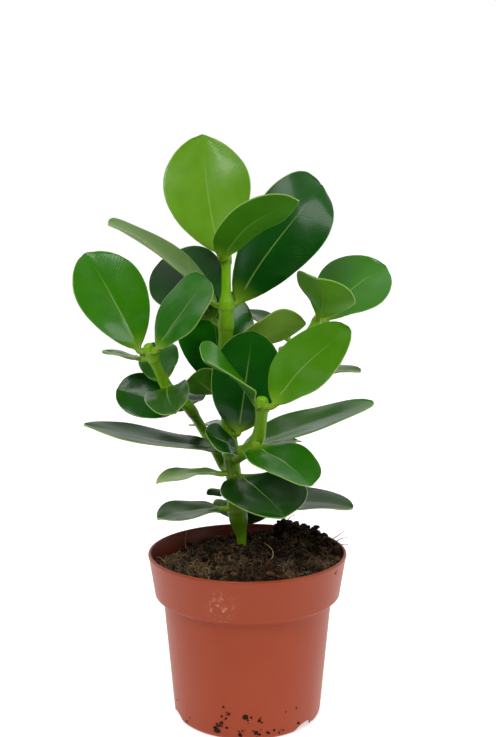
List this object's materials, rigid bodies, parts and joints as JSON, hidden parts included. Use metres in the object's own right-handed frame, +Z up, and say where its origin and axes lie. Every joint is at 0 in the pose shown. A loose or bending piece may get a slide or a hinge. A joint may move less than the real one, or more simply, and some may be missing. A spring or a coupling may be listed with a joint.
{
  "type": "potted autograph tree",
  "caption": "Young autograph tree (Clusia) with thick oval leaves on branching green stems, in a tapered plastic nursery pot filled with soil.",
  "frame": {"origin": "middle of the pot's underside, on the ground the pot stands on", "axes": "+Z up along the plant; -Y towards the side the plant shows; +X to the right seen from there"},
  "size_m": [0.1925, 0.1453, 0.3494],
  "materials": {
    "pot": "terracotta coloured thermoformed plastic, satin",
    "soil": "dark brown fibrous peat and coir potting mix, matt",
    "stem": "green stem with rings at the leaf nodes, satin",
    "leaf_young": "young leaf, bright yellow green, waxy gloss, pale midrib and margin",
    "leaf_mid": "grown leaf, fresh green, waxy gloss, pale midrib and margin",
    "leaf_dark": "old leaf, dark green, waxy gloss, pale midrib and margin",
    "leaf_grey": "leaf seen at a low angle, grey green sheen over dark green",
    "leaf_olive": "leaf that shows its matt olive underside"
  },
  "bodies": {
    "root": {"pot": "pot", "soil": "soil", "main_stem": "stem", "branch_left": "stem", "branch_front": "stem", "branch_back": "stem", "leaf_top_back": "leaf_young", "leaf_top_front": "leaf_young", "leaf_crown_right": "leaf_dark", "leaf_crown_left": "leaf_grey", "leaf_shoulder_back": "leaf_dark", "leaf_shoulder_front": "leaf_olive", "leaf_heart_back": "leaf_dark", "leaf_heart_front": "leaf_olive", "leaf_heart_upright": "leaf_dark", "leaf_heart_rear": "leaf_dark", "leaf_wing_left": "leaf_grey", "leaf_wing_right": "leaf_grey", "leaf_waist_left": "leaf_dark", "leaf_waist_right": "leaf_dark", "leaf_skirt_front": "leaf_dark", "leaf_skirt_left": "leaf_grey", "leaf_skirt_back": "leaf_dark", "leaf_foot_left": "leaf_grey", "leaf_foot_right": "leaf_grey", "leaf_foot_back": "leaf_dark", "leaf_left_high": "leaf_young", "leaf_left_inner": "leaf_young", "leaf_left_behind": "leaf_grey", "leaf_left_heart": "leaf_mid", "leaf_left_level": "leaf_grey", "leaf_left_low": "leaf_dark", "leaf_left_tucked": "leaf_grey", "leaf_front_folded": "leaf_young", "leaf_front_high": "leaf_young", "leaf_front_low": "leaf_mid", "leaf_front_small": "leaf_dark", "leaf_right_front": "leaf_olive", "leaf_right_back": "leaf_young", "leaf_right_inner": "leaf_grey", "leaf_right_level": "leaf_grey", "leaf_right_low": "leaf_mid"}
  },
  "joints": []
}
